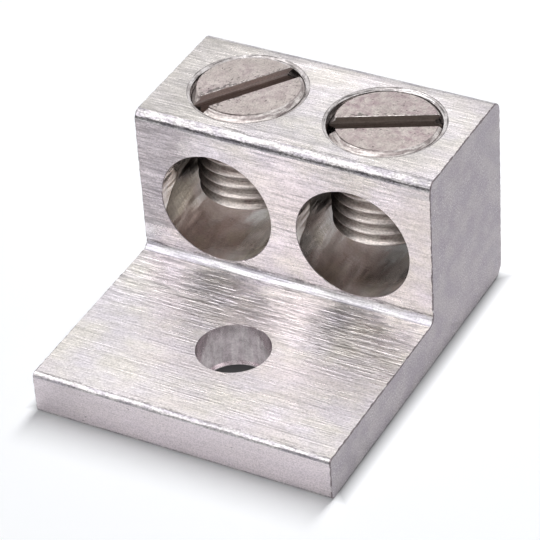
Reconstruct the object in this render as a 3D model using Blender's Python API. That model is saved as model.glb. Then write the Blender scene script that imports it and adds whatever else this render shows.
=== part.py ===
"""Mechanical lug for two wires: a body cut from an aluminium extrusion, with a tongue
that bolts down and a block with two wire ways, and a slotted set screw over each way.

X runs across the lug and along the extrusion, Y from the tongue's tip (-Y) to the
back of the block (+Y), and Z up from the underside, which lies on the bus bar.
The origin is on the underside, below the middle of the outline. Lengths are in metres.
"""

import math

import bmesh
import bpy

INCH = 0.0254
MM = 0.001

# Set screws, 7/16-20
SCREW_MAJOR_DIAMETER = 0.4375 * INCH
THREAD_PITCH = INCH / 20
SCREW_TOP_CHAMFER = 0.36 * MM
SCREW_TIP_CHAMFER = 0.3 * MM
SLOT_WIDTH = 0.078 * INCH
SLOT_DEPTH = 0.100 * INCH

# Room that a wire way leaves at each side of the screw that comes down into it, and how
# far the tip of a screw that is flush with the block stands below the way's middle
WAY_BESIDE_SCREW = 0.01875 * INCH
SCREW_BELOW_WAY_MIDDLE = 0.070 * INCH

# Metal left round the wire ways and the screws
SIDE_WALL = 0.095 * INCH
WEB_BETWEEN_WAYS = 0.110 * INCH
METAL_OVER_WAY = 0.130 * INCH
METAL_BEFORE_SCREW = 0.09375 * INCH
METAL_BEHIND_SCREW = 0.09375 * INCH

# Tongue, and how far the wire ways lie above it
TONGUE_LENGTH = 0.875 * INCH
TONGUE_THICKNESS = 0.1875 * INCH
WIRE_WAY_ABOVE_TONGUE = 0.03125 * INCH

# Rounded corners of the extruded section
BLOCK_FRONT_RADIUS = 1.0 * MM
BLOCK_BACK_RADIUS = 1.4 * MM
TONGUE_TIP_RADIUS = 0.5 * MM
INNER_FILLET_RADIUS = 0.8 * MM

# Hole in the tongue for the bolt to the bus bar
BOLT_HOLE_DIAMETER = 0.2875 * INCH
BOLT_HOLE_FROM_TIP = 0.435 * INCH

# The two screws: node name, side of the lug, height of the top above the block,
# and the slot's direction in degrees from X
SET_SCREWS = (
    ("set_screw_left", -1, 0.20 * MM, 54.0),
    ("set_screw_right", 1, 0.02 * MM, 25.5),
)

# Tapped holes: running clearance round the screw's crests, and the countersunk rim
SCREW_CLEARANCE = 0.2 * MM
COUNTERSINK_WIDTH = 0.22 * MM

# A unified thread's shape, as shares of its pitch
THREAD_CREST = 1 / 8
THREAD_ROOT = 1 / 4
THREAD_FLANK = (1 - THREAD_CREST - THREAD_ROOT) / 2
THREAD_FLANK_ANGLE = math.radians(30)

# Fineness of the round shapes
CORNER_STEPS = 8
ROUND_SIDES = 64
THREAD_STEPS = 40
SMOOTH_ANGLE = math.radians(32)

# How far a cutter runs past the metal that it cuts
OVERRUN = 2.0 * MM

# Sizes and places worked out from the sizes above
WIRE_WAY_DIAMETER = SCREW_MAJOR_DIAMETER + 2 * WAY_BESIDE_SCREW
WIRE_WAY_RADIUS = WIRE_WAY_DIAMETER / 2
BODY_WIDTH = 2 * (SIDE_WALL + WIRE_WAY_DIAMETER) + WEB_BETWEEN_WAYS
BLOCK_DEPTH = METAL_BEFORE_SCREW + SCREW_MAJOR_DIAMETER + METAL_BEHIND_SCREW
WIRE_WAY_Z = TONGUE_THICKNESS + WIRE_WAY_ABOVE_TONGUE + WIRE_WAY_RADIUS
BLOCK_HEIGHT = WIRE_WAY_Z + WIRE_WAY_RADIUS + METAL_OVER_WAY
BODY_LENGTH = TONGUE_LENGTH + BLOCK_DEPTH
TIP_Y = -BODY_LENGTH / 2
BACK_Y = BODY_LENGTH / 2
BLOCK_FRONT_Y = TIP_Y + TONGUE_LENGTH
WIRE_WAY_X = (WEB_BETWEEN_WAYS + WIRE_WAY_DIAMETER) / 2
SCREW_RADIUS = SCREW_MAJOR_DIAMETER / 2
SCREW_LENGTH = METAL_OVER_WAY + WIRE_WAY_RADIUS + SCREW_BELOW_WAY_MIDDLE
SCREW_Y = BLOCK_FRONT_Y + METAL_BEFORE_SCREW + SCREW_RADIUS
SCREW_HOLE_RADIUS = SCREW_RADIUS + SCREW_CLEARANCE


def clear_scene():
    for obj in list(bpy.data.objects):
        bpy.data.objects.remove(obj)


def metal(name, colour, roughness):
    material = bpy.data.materials.new(name)
    material.use_nodes = True
    shader = material.node_tree.nodes["Principled BSDF"]
    shader.inputs["Base Color"].default_value = (*colour, 1)
    shader.inputs["Metallic"].default_value = 1
    shader.inputs["Roughness"].default_value = roughness
    return material


def add_object(name, bm):
    """A scene object from a bmesh, with its faces pointing out."""
    bmesh.ops.recalc_face_normals(bm, faces=bm.faces)
    mesh = bpy.data.meshes.new(name)
    bm.to_mesh(mesh)
    bm.free()
    obj = bpy.data.objects.new(name, mesh)
    bpy.context.collection.objects.link(obj)
    return obj


def combine(target, tool, operation):
    """Cut the target with the tool, or keep only what lies inside it, and drop the tool."""
    tool.hide_render = True
    tool.display_type = "WIRE"
    boolean = target.modifiers.new(operation.title(), "BOOLEAN")
    boolean.operation = operation
    boolean.solver = "EXACT"
    boolean.object = tool
    depsgraph = bpy.context.evaluated_depsgraph_get()
    result = bpy.data.meshes.new_from_object(target.evaluated_get(depsgraph))
    target.modifiers.clear()
    target.data = result
    bpy.data.objects.remove(tool)


def finish(obj, material):
    """Smooth the curved faces, keep the machined edges sharp, and give the metal."""
    obj.data.shade_smooth()
    obj.data.set_sharp_from_angle(angle=SMOOTH_ANGLE)
    obj.data.materials.clear()
    obj.data.materials.append(material)


def rounded_corner(before, corner, after, radius):
    """Points of the arc that rounds one corner of an outline."""
    to_before = [b - c for b, c in zip(before, corner)]
    to_after = [a - c for a, c in zip(after, corner)]
    to_before = [v / math.hypot(*to_before) for v in to_before]
    to_after = [v / math.hypot(*to_after) for v in to_after]
    opening = math.acos(sum(b * a for b, a in zip(to_before, to_after)))
    to_centre = [b + a for b, a in zip(to_before, to_after)]
    to_centre = [v / math.hypot(*to_centre) for v in to_centre]
    reach = radius / math.sin(opening / 2)
    centre = [c + reach * v for c, v in zip(corner, to_centre)]
    turn = math.pi - opening
    left_turn = to_before[0] * to_after[1] - to_before[1] * to_after[0] < 0
    middle = math.atan2(-to_centre[1], -to_centre[0])
    points = []
    for step in range(CORNER_STEPS + 1):
        swing = turn * (step / CORNER_STEPS - 0.5)
        angle = middle + (swing if left_turn else -swing)
        points.append(
            (centre[0] + radius * math.cos(angle), centre[1] + radius * math.sin(angle))
        )
    return points


def section_outline():
    """The extrusion's section as (y, z) points, once round its rounded corners."""
    corners = (
        ((TIP_Y, 0), TONGUE_TIP_RADIUS),
        ((BACK_Y, 0), BLOCK_BACK_RADIUS),
        ((BACK_Y, BLOCK_HEIGHT), BLOCK_BACK_RADIUS),
        ((BLOCK_FRONT_Y, BLOCK_HEIGHT), BLOCK_FRONT_RADIUS),
        ((BLOCK_FRONT_Y, TONGUE_THICKNESS), INNER_FILLET_RADIUS),
        ((TIP_Y, TONGUE_THICKNESS), TONGUE_TIP_RADIUS),
    )
    outline = []
    for index, (corner, radius) in enumerate(corners):
        before = corners[index - 1][0]
        after = corners[(index + 1) % len(corners)][0]
        outline += rounded_corner(before, corner, after, radius)
    return outline


def make_extrusion(name):
    """The section drawn on one cut end and pulled across the lug's width."""
    bm = bmesh.new()
    end = bm.faces.new(
        [bm.verts.new((-BODY_WIDTH / 2, y, z)) for y, z in section_outline()]
    )
    pulled = bmesh.ops.extrude_face_region(bm, geom=[end], use_keep_orig=True)
    moved = [item for item in pulled["geom"] if isinstance(item, bmesh.types.BMVert)]
    bmesh.ops.translate(bm, verts=moved, vec=(BODY_WIDTH, 0, 0))
    return add_object(name, bm)


def turned(name, profile, first_side=0.0):
    """A solid of revolution about Z from (radius, z) points, bottom to top."""
    bm = bmesh.new()
    rings = []
    for radius, z in profile:
        ring = []
        for side in range(ROUND_SIDES):
            angle = 2 * math.pi * (side + first_side) / ROUND_SIDES
            ring.append(
                bm.verts.new((radius * math.cos(angle), radius * math.sin(angle), z))
            )
        rings.append(ring)
    bm.faces.new(rings[0])
    bm.faces.new(rings[-1])
    for lower, upper in zip(rings, rings[1:]):
        for side in range(ROUND_SIDES):
            after = (side + 1) % ROUND_SIDES
            bm.faces.new((lower[side], lower[after], upper[after], upper[side]))
    return add_object(name, bm)


def block_cutter(name, size, centre):
    bm = bmesh.new()
    bmesh.ops.create_cube(bm, size=1)
    bmesh.ops.scale(bm, verts=bm.verts, vec=size)
    bmesh.ops.translate(bm, verts=bm.verts, vec=centre)
    return add_object(name, bm)


def drill_wire_way(body, side):
    reach = BLOCK_DEPTH + 2 * OVERRUN
    drill = turned("wire_way_drill", ((WIRE_WAY_RADIUS, 0), (WIRE_WAY_RADIUS, reach)))
    drill.rotation_euler.x = -math.pi / 2
    drill.location = (side * WIRE_WAY_X, BLOCK_FRONT_Y - OVERRUN, WIRE_WAY_Z)
    combine(body, drill, "DIFFERENCE")


def bore_screw_hole(body, side):
    """The screw's hole, from its countersunk rim down into the wire way."""
    rim_start = BLOCK_HEIGHT - COUNTERSINK_WIDTH
    profile = (
        (SCREW_HOLE_RADIUS, WIRE_WAY_Z),
        (SCREW_HOLE_RADIUS, rim_start),
        (SCREW_HOLE_RADIUS + COUNTERSINK_WIDTH + OVERRUN, BLOCK_HEIGHT + OVERRUN),
    )
    drill = turned("screw_hole_drill", profile)
    drill.location = (side * WIRE_WAY_X, SCREW_Y, 0)
    combine(body, drill, "DIFFERENCE")


def drill_bolt_hole(body):
    radius = BOLT_HOLE_DIAMETER / 2
    profile = ((radius, -OVERRUN), (radius, TONGUE_THICKNESS + OVERRUN))
    drill = turned("bolt_hole_drill", profile)
    drill.location = (0, TIP_Y + BOLT_HOLE_FROM_TIP, 0)
    combine(body, drill, "DIFFERENCE")


def make_body(material):
    body = make_extrusion("lug_body")
    for side in (-1, 1):
        drill_wire_way(body, side)
        bore_screw_hole(body, side)
    drill_bolt_hole(body)
    finish(body, material)


def threaded_rod(name):
    """A right-hand thread, longer at both ends than the screw that is cut from it.

    Each row of four points is the thread's profile at one angle: both ends of the root,
    then both ends of the crest. The flank above a crest meets the root one turn later.
    """
    thread_depth = THREAD_FLANK * THREAD_PITCH / math.tan(THREAD_FLANK_ANGLE)
    root_radius = SCREW_RADIUS - thread_depth
    profile = (
        (root_radius, 0),
        (root_radius, THREAD_ROOT),
        (SCREW_RADIUS, THREAD_ROOT + THREAD_FLANK),
        (SCREW_RADIUS, THREAD_ROOT + THREAD_FLANK + THREAD_CREST),
    )
    spare_turns = 1.25
    start = -spare_turns * THREAD_PITCH
    turns = SCREW_LENGTH / THREAD_PITCH + 2 * spare_turns
    steps = math.ceil(turns * THREAD_STEPS)
    bm = bmesh.new()
    rows = []
    for step in range(steps + 1):
        angle = 2 * math.pi * step / THREAD_STEPS
        rise = start + THREAD_PITCH * step / THREAD_STEPS
        rows.append(
            [
                bm.verts.new(
                    (
                        radius * math.cos(angle),
                        radius * math.sin(angle),
                        rise + share * THREAD_PITCH,
                    )
                )
                for radius, share in profile
            ]
        )
    for step in range(steps):
        row, after = rows[step], rows[step + 1]
        for low in range(3):
            bm.faces.new((row[low], after[low], after[low + 1], row[low + 1]))
        if step + 1 + THREAD_STEPS <= steps:
            above, above_after = rows[step + THREAD_STEPS], rows[step + 1 + THREAD_STEPS]
            bm.faces.new((row[3], after[3], above_after[0], above[0]))
    first_turn = [row[0] for row in rows[: THREAD_STEPS + 1]]
    last_turn = [row[3] for row in rows[-THREAD_STEPS - 1 :]]
    bottom_edge = first_turn + rows[0][:0:-1]
    top_edge = last_turn + rows[-1][-2::-1]
    for edge, z in (
        (bottom_edge, start - THREAD_PITCH),
        (top_edge, start + (turns + 2) * THREAD_PITCH),
    ):
        apex = bm.verts.new((0, 0, z))
        for index, vert in enumerate(edge):
            bm.faces.new((vert, edge[(index + 1) % len(edge)], apex))
    return add_object(name, bm)


def make_screw(name, side, proud, slot_angle, material):
    """A set screw with its own origin on its axis, in the plane of its top."""
    outside = SCREW_RADIUS + SCREW_CLEARANCE / 2
    tip_rise = SCREW_TIP_CHAMFER + SCREW_CLEARANCE / 2
    top_fall = SCREW_TOP_CHAMFER + SCREW_CLEARANCE / 2
    envelope = turned(
        "screw_envelope",
        (
            (SCREW_RADIUS - SCREW_TIP_CHAMFER, 0),
            (outside, tip_rise),
            (outside, SCREW_LENGTH - top_fall),
            (SCREW_RADIUS - SCREW_TOP_CHAMFER, SCREW_LENGTH),
        ),
        first_side=0.5,
    )
    saw = block_cutter(
        "slot_saw",
        (SCREW_MAJOR_DIAMETER + 2 * OVERRUN, SLOT_WIDTH, 2 * SLOT_DEPTH),
        (0, 0, SCREW_LENGTH),
    )
    combine(envelope, saw, "DIFFERENCE")
    screw = threaded_rod(name)
    combine(screw, envelope, "INTERSECT")
    for vert in screw.data.vertices:
        vert.co.z -= SCREW_LENGTH
    finish(screw, material)
    screw.location = (side * WIRE_WAY_X, SCREW_Y, BLOCK_HEIGHT + proud)
    screw.rotation_euler.z = math.radians(slot_angle)


def main():
    clear_scene()
    body_metal = metal("tinned_aluminium", (0.80, 0.78, 0.79), 0.34)
    screw_metal = metal("plated_screw", (0.62, 0.59, 0.57), 0.38)
    make_body(body_metal)
    for name, side, proud, slot_angle in SET_SCREWS:
        make_screw(name, side, proud, slot_angle, screw_metal)


main()
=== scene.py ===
"""Mechanical lug for two wires: the tinned aluminium body with its tapped holes and wire
ways, and the two slotted set screws, on a white table in soft studio light.

Lengths are in metres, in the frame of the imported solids: X across the lug and along the
extrusion, Y from the tongue's tip to the back of the block, Z up from the underside.
"""

import math

import bmesh
import bpy
from mathutils import Matrix, Vector, noise


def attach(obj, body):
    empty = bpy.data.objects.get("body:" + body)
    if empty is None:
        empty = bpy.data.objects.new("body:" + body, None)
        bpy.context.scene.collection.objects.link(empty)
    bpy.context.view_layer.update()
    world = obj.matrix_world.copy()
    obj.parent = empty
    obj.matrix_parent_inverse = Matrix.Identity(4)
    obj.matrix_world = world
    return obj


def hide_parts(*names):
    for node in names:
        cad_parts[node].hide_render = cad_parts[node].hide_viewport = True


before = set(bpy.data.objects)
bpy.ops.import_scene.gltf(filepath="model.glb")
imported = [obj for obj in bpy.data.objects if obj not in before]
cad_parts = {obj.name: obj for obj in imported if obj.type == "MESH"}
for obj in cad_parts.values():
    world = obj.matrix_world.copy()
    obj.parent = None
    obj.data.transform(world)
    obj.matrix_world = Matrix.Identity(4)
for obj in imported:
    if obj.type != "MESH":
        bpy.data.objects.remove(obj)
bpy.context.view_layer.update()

INCH = 0.0254
MM = 0.001

# Camera, as the photograph was taken: degrees, metres, and pixels of a 540 pixel image
IMAGE_WIDTH = 540
CAMERA_AZIMUTH = 29.97
CAMERA_ELEVATION = 36.85
CAMERA_ROLL = 3.98
CAMERA_TARGET = Vector((0.000614, -0.001059, 0.009525))
CAMERA_DISTANCE = 0.2825
CAMERA_FOCAL_PIXELS = 2939.0
SENSOR_WIDTH = 36.0
CAMERA_NEAR = 0.01
CAMERA_FAR = 20.0

# Body
SCREW_RADIUS = 0.4375 * INCH / 2
WIRE_WAY_RADIUS = SCREW_RADIUS + 0.01875 * INCH
TONGUE_THICKNESS = 0.1875 * INCH
BODY_WIDTH = 1.25 * INCH
BODY_LENGTH = 1.5 * INCH
BLOCK_DEPTH = 0.625 * INCH
BLOCK_HEIGHT = 0.82375 * INCH
WIRE_WAY_X = 0.585 * INCH / 2
WIRE_WAY_Z = TONGUE_THICKNESS + 0.03125 * INCH + WIRE_WAY_RADIUS
BOLT_HOLE_RADIUS = 0.2875 * INCH / 2
BOLT_HOLE_FROM_TIP = 0.435 * INCH
BLOCK_FRONT_RADIUS = 1.0 * MM
BLOCK_BACK_RADIUS = 1.4 * MM
TONGUE_TIP_RADIUS = 0.5 * MM
INNER_FILLET_RADIUS = 0.8 * MM
TIP_Y = -BODY_LENGTH / 2
BACK_Y = BODY_LENGTH / 2
BLOCK_FRONT_Y = BACK_Y - BLOCK_DEPTH

# Edges: saw-cut ends, drilled mouths, and the rims of the holes
END_BEVEL = 0.10 * MM
END_BEVEL_WAVE = 0.6 * MM
MOUTH_BEVEL = 0.05 * MM
COUNTERSINK_RADIUS = 6.08 * MM
COUNTERSINK_SLOPE = 0.45
COUNTERSINK_OVERLAP = 0.08 * MM
HOLE_RIM_BEVEL = 0.05 * MM
HOLE_BURR = 0.19 * MM

# Tapped holes: the thread's flats, at its crest and root, are shares of the pitch
TAPPED_CREST_RADIUS = SCREW_RADIUS + 0.06 * MM
TAPPED_ROOT_RADIUS = SCREW_RADIUS + 0.20 * MM
TAPPED_CREST = 0.35
TAPPED_ROOT = 0.2

# Die lines: shallow grooves that run the whole length of the extrusion. They fade out by
# a share of their depth for each step towards a corner
DIE_LINE_PITCH = 0.22 * MM
DIE_LINE_DEPTH = 0.0012 * MM
DIE_LINE_BROAD = 0.9 * MM
DIE_LINE_NARROW = 0.3 * MM
DIE_LINE_FADE = 0.3

# Painted shade: ragged dark lines along X where the roundings run out: y, z, darkness,
# share missing. The first lies a little way up the rounding at the block's front
FIRST_PAINTED_CREASE_BEHIND = 0.09 * BLOCK_FRONT_RADIUS
FIRST_PAINTED_CREASE_BELOW = 0.58 * BLOCK_FRONT_RADIUS
PAINTED_CREASE_LINES = (
    (BLOCK_FRONT_Y + FIRST_PAINTED_CREASE_BEHIND, BLOCK_HEIGHT - FIRST_PAINTED_CREASE_BELOW, 0.66, 0.36),
    (BLOCK_FRONT_Y + BLOCK_FRONT_RADIUS, BLOCK_HEIGHT, 0.46, 0.46),
    (BLOCK_FRONT_Y, TONGUE_THICKNESS + INNER_FILLET_RADIUS, 0.60, 0.50),
    (BLOCK_FRONT_Y - INNER_FILLET_RADIUS, TONGUE_THICKNESS, 0.42, 0.50),
    (TIP_Y + TONGUE_TIP_RADIUS, TONGUE_THICKNESS, 0.50, 0.48),
)
PAINTED_CREASE_WIDTH = 0.19 * MM

# Set screws: each has its hand, side, how far it stands proud, and its slot's angle from
# X in degrees. The thread's flats, at its crest and root, are shares of the pitch
SCREW_LENGTH = 0.4375 * INCH
SCREW_Y = BLOCK_FRONT_Y + 0.09375 * INCH + SCREW_RADIUS
THREAD_PITCH = INCH / 20
THREAD_DEPTH = 0.68 * MM
THREAD_CREST = 0.10
THREAD_ROOT = 0.22
SCREW_TOP_CHAMFER = 0.36 * MM
SCREW_TIP_CHAMFER = 0.30 * MM
SCREW_CORNER = 0.05 * MM
SLOT_WIDTH = 0.078 * INCH
SLOT_DEPTH = 0.100 * INCH
SLOT_EDGE = 0.05 * MM
SLOT_CORNER = 0.12 * MM
SET_SCREWS = (
    ("left", -1, 0.20 * MM, 54.0),
    ("right", 1, 0.02 * MM, 25.5),
)

# Rounded corners of a thread, as shares of its depth, of its flank and of its crest
ROUNDED_FOOT = 0.12
ROUNDED_TOP = 0.10
ROUNDED_FLANK = 0.16
ROUNDED_CREST = 0.25

# Table, just below the lug so that no faces share a plane
TABLE_HALF = 3.0
TABLE_BELOW = 0.02 * MM
TABLE_COLOUR = (0.75, 0.76, 0.775)

# Dark card round the front of the table: degrees from straight ahead, and metres
CARD_MIDDLE = -20
CARD_SPREAD = 75
CARD_DISTANCE = 1.0
CARD_HEIGHT = 0.47
CARD_STEPS = 24

# Lamps: where each stands, the point that it faces, its width and height, and how bright
# it looks where white is 1
FRONT_SOFTBOX = ((-0.26, -0.24, 0.54), (0, 0, 0.01), (1.0, 0.95), 1.46)
BACK_SOFTBOX = ((0.03, 0.293, 0.614), (0.03, 0, 0), (0.13, 0.563), 21.5)

# Fineness, how far a cutting tool reaches past what it cuts, and how close a face lies to
# a surface that it is part of
CORNER_STEPS = 14
ROUND_SIDES = 128
THREAD_STEPS = 96
SMOOTH_ANGLE = math.radians(30)
OVERRUN = 2.0 * MM
CLEARANCE = 0.1 * MM
CLOSE = 0.02 * MM


def add_object(name, bm):
    bmesh.ops.recalc_face_normals(bm, faces=bm.faces)
    mesh = bpy.data.meshes.new(name)
    bm.to_mesh(mesh)
    bm.free()
    obj = bpy.data.objects.new(name, mesh)
    bpy.context.collection.objects.link(obj)
    return obj


def combine(target, tool, operation):
    """Cut the target with the tool, or keep only what lies inside it, and drop the tool."""
    boolean = target.modifiers.new(operation.title(), "BOOLEAN")
    boolean.operation = operation
    boolean.solver = "EXACT"
    boolean.object = tool
    depsgraph = bpy.context.evaluated_depsgraph_get()
    result = bpy.data.meshes.new_from_object(target.evaluated_get(depsgraph))
    target.modifiers.clear()
    target.data = result
    bpy.data.objects.remove(tool)


def die_line(distance, side):
    """Depth of the die lines at a distance along one side of the section."""
    broad = noise.noise((distance / DIE_LINE_BROAD, side * 7.3, 0.5))
    narrow = noise.noise((distance / DIE_LINE_NARROW, side * 3.1, 9.5))
    return DIE_LINE_DEPTH * max(0.0, min(1.0, 0.35 + 0.6 * broad + 0.7 * narrow))


def section_outline():
    """The extrusion's section, once round: each point as (y, z), and the way inward."""
    corners = (
        ((TIP_Y, 0), TONGUE_TIP_RADIUS),
        ((BACK_Y, 0), BLOCK_BACK_RADIUS),
        ((BACK_Y, BLOCK_HEIGHT), BLOCK_BACK_RADIUS),
        ((BLOCK_FRONT_Y, BLOCK_HEIGHT), BLOCK_FRONT_RADIUS),
        ((BLOCK_FRONT_Y, TONGUE_THICKNESS), INNER_FILLET_RADIUS),
        ((TIP_Y, TONGUE_THICKNESS), TONGUE_TIP_RADIUS),
    )
    outline = []
    for index, (corner, radius) in enumerate(corners):
        corner = Vector(corner)
        following, following_radius = corners[(index + 1) % len(corners)]
        following = Vector(following)
        before = (Vector(corners[index - 1][0]) - corner).normalized()
        after = (following - corner).normalized()
        hollow = before.x * after.y - before.y * after.x > 0
        centre = corner + radius * (before + after)
        for step in range(CORNER_STEPS + 1):
            angle = math.pi / 2 * step / CORNER_STEPS
            outward = -after * math.cos(angle) - before * math.sin(angle)
            inward = outward if hollow else -outward
            outline.append((centre + radius * outward, inward))
        start = corner + after * radius
        length = (following - corner).length - radius - following_radius
        inward = Vector((-after.y, after.x))
        count = round(length / DIE_LINE_PITCH)
        for step in range(1, count):
            distance = length * step / count
            fade = min(1.0, DIE_LINE_FADE * step, DIE_LINE_FADE * (count - step))
            depth = die_line(distance, index) * fade
            outline.append((start + after * distance + inward * depth, inward))
    return outline


def broken_edge(point, side, at_end):
    """Width of the broken edge at a point of the section's outline."""
    place = Vector((point.x, point.y, side * MM + at_end * MM)) / END_BEVEL_WAVE
    uneven = noise.noise(place) + 0.6 * noise.noise(2.7 * place)
    return END_BEVEL * max(0.5, min(1.8, 1.0 + 0.9 * uneven))


def make_extrusion(name):
    """The section pulled across the lug's width, with its cut edges unevenly broken."""
    half = BODY_WIDTH / 2
    outline = section_outline()
    bm = bmesh.new()
    rings = []
    for side, at_end in ((-1, True), (-1, False), (1, False), (1, True)):
        ring = []
        for point, inward in outline:
            bevel = broken_edge(point, side, at_end)
            x = side * half if at_end else side * (half - bevel)
            inset = bevel if at_end else 0.0
            ring.append(bm.verts.new((x, *(point + inset * inward))))
        rings.append(ring)
    count = len(rings[0])
    bm.faces.new(rings[0])
    bm.faces.new(rings[-1])
    for near, far in zip(rings, rings[1:]):
        for index in range(count):
            after = (index + 1) % count
            bm.faces.new((near[index], near[after], far[after], far[index]))
    return add_object(name, bm)


def turned(name, profile, first_side=0.0):
    """A solid of revolution about Z from (radius, z) points, bottom to top."""
    bm = bmesh.new()
    rings = []
    for radius, z in profile:
        ring = []
        for side in range(ROUND_SIDES):
            angle = 2 * math.pi * (side + first_side) / ROUND_SIDES
            ring.append(
                bm.verts.new((radius * math.cos(angle), radius * math.sin(angle), z))
            )
        rings.append(ring)
    bm.faces.new(rings[0])
    bm.faces.new(rings[-1])
    for lower, upper in zip(rings, rings[1:]):
        for side in range(ROUND_SIDES):
            after = (side + 1) % ROUND_SIDES
            bm.faces.new((lower[side], lower[after], upper[after], upper[side]))
    return add_object(name, bm)


def helix_rod(name, root_radius, crest_radius, crest, root, start, height):
    """A right-hand thread on a rod: rows of profile points, one row for each angle.

    The profile's corners are rounded by a point beside each. The crest and root are its
    flats, as shares of the pitch. It starts a turn below start and ends a turn above
    start + height.
    """
    flank = (1 - crest - root) / 2
    drop = crest_radius - root_radius
    foot = root_radius + ROUNDED_FOOT * drop
    shoulder = crest_radius - ROUNDED_TOP * drop
    run = ROUNDED_FLANK * flank
    top = root + flank
    profile = (
        (root_radius, 0.0),
        (root_radius, root),
        (foot, root + run),
        (shoulder, top - run),
        (crest_radius, top + ROUNDED_CREST * crest),
        (crest_radius, top + (1 - ROUNDED_CREST) * crest),
        (shoulder, top + crest + run),
        (foot, 1 - run),
    )
    bottom = start - THREAD_PITCH
    steps = math.ceil((height / THREAD_PITCH + 2) * THREAD_STEPS)
    last = len(profile) - 1
    bm = bmesh.new()
    rows = []
    for step in range(steps + 1):
        angle = 2 * math.pi * step / THREAD_STEPS
        rise = bottom + THREAD_PITCH * step / THREAD_STEPS
        rows.append(
            [
                bm.verts.new((r * math.cos(angle), r * math.sin(angle), rise + s * THREAD_PITCH))
                for r, s in profile
            ]
        )
    for step in range(steps):
        row, after = rows[step], rows[step + 1]
        for low in range(last):
            bm.faces.new((row[low], after[low], after[low + 1], row[low + 1]))
        if step + 1 + THREAD_STEPS <= steps:
            above, above_after = rows[step + THREAD_STEPS], rows[step + 1 + THREAD_STEPS]
            bm.faces.new((row[last], after[last], above_after[0], above[0]))
    first_turn = [row[0] for row in rows[: THREAD_STEPS + 1]]
    last_turn = [row[last] for row in rows[-THREAD_STEPS - 1 :]]
    for edge, z in (
        (first_turn + rows[0][:0:-1], bottom - THREAD_PITCH),
        (last_turn + rows[-1][-2::-1], bottom + (steps / THREAD_STEPS + 2) * THREAD_PITCH),
    ):
        apex = bm.verts.new((0, 0, z))
        for index, vert in enumerate(edge):
            bm.faces.new((vert, edge[(index + 1) % len(edge)], apex))
    return add_object(name, bm)


def make_body():
    """The extrusion, drilled, tapped and countersunk."""
    body = make_extrusion("lug_body_fine")
    mouth = WIRE_WAY_RADIUS + MOUTH_BEVEL
    for _, side, _, slot_angle in SET_SCREWS:
        way = turned(
            "way_drill",
            (
                (mouth, -OVERRUN),
                (mouth, 0),
                (WIRE_WAY_RADIUS, MOUTH_BEVEL),
                (WIRE_WAY_RADIUS, BLOCK_DEPTH - MOUTH_BEVEL),
                (mouth, BLOCK_DEPTH),
                (mouth, BLOCK_DEPTH + OVERRUN),
            ),
        )
        way.rotation_euler.x = -math.pi / 2
        way.location = (side * WIRE_WAY_X, BLOCK_FRONT_Y, WIRE_WAY_Z)
        combine(body, way, "DIFFERENCE")
        height = BLOCK_HEIGHT - WIRE_WAY_Z + 2 * THREAD_PITCH
        tap = helix_rod(
            "tap",
            TAPPED_CREST_RADIUS,
            TAPPED_ROOT_RADIUS,
            TAPPED_ROOT,
            TAPPED_CREST,
            WIRE_WAY_Z + THREAD_PITCH,
            height,
        )
        tap.location = (side * WIRE_WAY_X, SCREW_Y, 0)
        tap.rotation_euler.z = math.radians(slot_angle)
        combine(body, tap, "DIFFERENCE")
        width = COUNTERSINK_RADIUS - TAPPED_CREST_RADIUS + COUNTERSINK_OVERLAP
        sink = turned(
            "countersink",
            (
                (COUNTERSINK_RADIUS - width, BLOCK_HEIGHT - COUNTERSINK_SLOPE * width),
                (COUNTERSINK_RADIUS + OVERRUN, BLOCK_HEIGHT + COUNTERSINK_SLOPE * OVERRUN),
            ),
            first_side=0.5,
        )
        sink.location = (side * WIRE_WAY_X, SCREW_Y, 0)
        combine(body, sink, "DIFFERENCE")
    exit_radius = BOLT_HOLE_RADIUS - HOLE_BURR
    bolt = turned(
        "bolt_drill",
        (
            (exit_radius, -OVERRUN),
            (exit_radius, 0.5 * HOLE_BURR),
            (BOLT_HOLE_RADIUS, 2 * HOLE_BURR),
            (BOLT_HOLE_RADIUS, TONGUE_THICKNESS - HOLE_RIM_BEVEL),
            (BOLT_HOLE_RADIUS + HOLE_RIM_BEVEL + OVERRUN, TONGUE_THICKNESS + OVERRUN),
        ),
    )
    bolt.location = (0, TIP_Y + BOLT_HOLE_FROM_TIP, 0)
    combine(body, bolt, "DIFFERENCE")
    return body


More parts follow.
